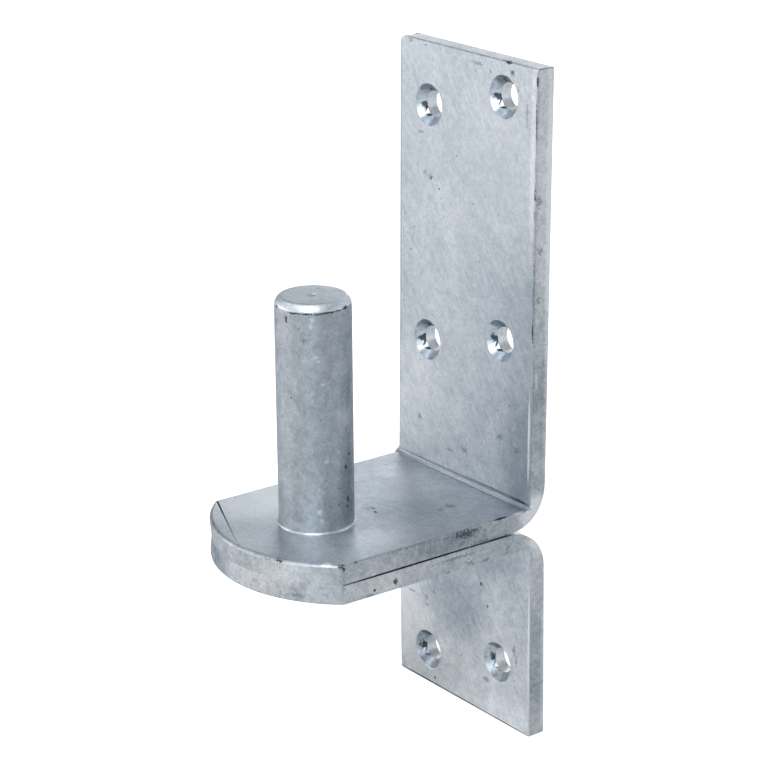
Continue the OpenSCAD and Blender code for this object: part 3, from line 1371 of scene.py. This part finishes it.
# Painted light and shade on the upper bar's front face and shelf, with painted highlights along the leg's rolled
# left and right edges
UPPER_PATCHES = tuple(TonePatch(*row) for row in (
    ((25, 48.7, 12), (9, 6, 20), -0.42),
    ((8, 20, 0), (12, 7, 3), -0.25),
    ((12, 27, 0), (10, 4, 3), -0.15),
    ((-8, 38, 0), (13, 6, 3), 0.25),
    ((20, 4, 0), (7, 9, 3), 0.3),
    ((22, 49, 55), (10, 6, 20), -0.12),
    ((18, -12, 0), (9, 7, 3), 0.2),
    ((-22, 48.8, 20), (12, 6, 20), 0.29),
    ((-12, 49.4, 66), (12, 6, 22), 0.08),
    ((-29, 49.4, 60), (2.2, 3, 75), 0.67),
    ((27.6, 49.4, 95), (1.2, 3, 26), 0.34),
    ((-24, -4, 0), (16, 20, 3), 0.62),
))

# Painted light and shade on the upper bar's sides and nose, with painted highlights along the side's back rim and
# at the bend
UPPER_EDGE_PATCHES = tuple(TonePatch(*row) for row in (
    ((29, 52, 90), (3, 6, 44), 0.28),
    ((29, 20, -2), (3, 20, 5), -0.28),
    ((29, 52, 25), (3, 6, 18), -0.07),
    ((-26, -13, -4), (10, 10, 8), -0.5),
    ((-8, -25, -4), (12, 12, 8), -0.04),
    ((20, -24, -4), (12, 12, 8), 0.34),
    ((29, 54.3, 62), (2, 1.4, 75), 0.4),
    ((29, 50, -1), (3, 5, 5.5), 0.8),
))

# Painted light and shade down the lower bar's leg: darker towards its top, lighter towards its bottom
LOWER_PATCHES = tuple(TonePatch(*row) for row in (
    ((4, 49, -20), (24, 6, 9), -0.35),
    ((-4, 49, -37), (17, 6, 12), -0.5),
    ((24, 49, -34), (7, 6, 12), -0.12),
    ((2, 49, -46), (14, 6, 12), -0.12),
    ((0, 49, -52), (70, 12, 30), 0.24),
    ((-24, 49, -46), (11, 6, 24), 0.28),
    ((12, 49, -66), (24, 6, 9), 0.2),
))

# Painted light and shade on the lower bar's sides and nose, with painted highlights along the side's back rim and
# at the bend
LOWER_EDGE_PATCHES = tuple(TonePatch(*row) for row in (
    ((29, 0, -8), (3, 12, 4), 0.25),
    ((-16, -20, -8), (16, 14, 8), -0.4),
    ((12, -25, -8), (14, 12, 8), 0.12),
    ((27, -16, -8), (7, 8, 8), 0.15),
    ((29, 22, -9), (3, 10, 4), 0.12),
    ((29, 52, -48), (3, 6, 18), -0.07),
    ((29, 54.3, -44), (2, 1.4, 28), 0.3),
    ((29, 51.5, -9), (2, 3.6, 4.5), 0.5),
    ((29, 52, -22), (3, 6, 10), 0.15),
))

# Countersinks: their centre across the bar and in height, and how far the leg leans back there
SINKS = (
    (-15.5, 101.5, 1.1), (15.5, 109, 1.2), (-15.5, 36, 0.4), (15.5, 43.5, 0.5),
    (-15.5, -56.7, 0.5), (15.5, -49.2, 0.4),
)
# Distance from the pin's axis to the cones of a leg that doesn't lean
SINK_Y = 49.9
# Painted shade in each countersink, on its left and upper walls and round its bore: the kind, the distances across
# and up from its centre, and the half lengths
MARKS_IN_SINK = (
    (PIT, -3.8, -0.6, (1.2, 2, 1.2)), (PIT, -0.2, 3.9, (1.6, 1.6, 0.55)),
    (SHADE, -1, 4.6, (4.8, 2.4, 2)), (SCORE, -3.3, -1.6, (0.35, 1, 1.6)),
    (SCORE, -1.7, -3.3, (1.5, 1, 0.35)),
)

SINK_MARKS = tuple(
    WearMark(kind, (x + across, SINK_Y + lean, z + up), size)
    for x, z, lean in SINKS for kind, across, up, size in MARKS_IN_SINK
)


def main() -> None:
    """Builds the finishes, the brackets, the pin and the studio, in that order, and reports each piece."""
    logging.basicConfig(level=logging.INFO, format="%(name)s %(message)s")
    # The countersinks carry painted shade on their walls and rims
    sink_zinc = BrightZincFinish(
        "galvanised_countersink", light="#dfe3e7", dark="#b9c1c9", marks=SINK_MARKS,
    ).build()
    bore_zinc = BrightZincFinish("galvanised_bore", light="#ffffff", dark="#e9edf1", roughness=0.55).build()
    parts = (
        BentBracket(
            "upper_bar", "upper_bracket", LegSide.UP, reach=124.0,
            holes=((-15.5, 107.0), (15.5, 114.5), (-15.5, 41.5), (15.5, 49.0)),
            materials=(
                ZincFinish("galvanised_upper_bar", patches=UPPER_PATCHES, marks=UPPER_MARKS).build(),
                sink_zinc,
                # A darker copy of the zinc for the sides, nose and end: painted shade
                ZincFinish(
                    "galvanised_upper_edges_painted_shade", light="#ffffff", dark="#858f98", streak_share=0.2,
                    patches=UPPER_EDGE_PATCHES, marks=UPPER_MARKS,
                ).build(),
                bore_zinc,
            ),
        ),
        BentBracket(
            "lower_bar", "lower_bracket", LegSide.DOWN, reach=61.5, holes=((-15.5, 51.25), (15.5, 43.75)),
            seam_gap=0.35, edge_left=0.9, corner_left=1.1,
            materials=(
                ZincFinish(
                    "galvanised_lower_bar", light="#ffffff", dark="#aab4bd",
                    patches=LOWER_PATCHES, marks=LOWER_MARKS,
                ).build(),
                sink_zinc,
                # A darker copy of the zinc for the sides, nose and end: painted shade
                ZincFinish(
                    "galvanised_lower_edges_painted_shade", light="#ffffff", dark="#87929c", streak_share=0.2,
                    patches=LOWER_EDGE_PATCHES, marks=LOWER_MARKS,
                ).build(),
                bore_zinc,
            ),
        ),
        RoundPin(
            body=ZincFinish(
                "galvanised_pin", light="#dde1e4", dark="#98a2ab", streak_share=0.15, spread=0.36,
                mottles=(Mottle(14.0, 0.4), Mottle(3.6, 0.7, 3.0), Mottle(1.2, 0.6), Mottle(0.45, 0.5)),
                patches=PIN_PATCHES, marks=PIN_MARKS,
            ).build(),
            crown=BrightZincFinish(
                "worn_crown_painted_highlight", light="#fbfcfe", dark="#e3e9ef", roughness=0.52, bump_mm=0.02,
                ripple_mm=0.8, marks=PIN_MARKS,
            ).build(),
        ),
        FootBead(BrightZincFinish("zinc_bead", light="#ffffff", dark="#dfe5ea", roughness=0.45).build()),
    )
    for part in parts:
        piece = part.build()
        LOG.info("%s: %d vertices", piece.name, len(piece.data.vertices))
    Studio().build()


if __name__ == "__main__":
    main()
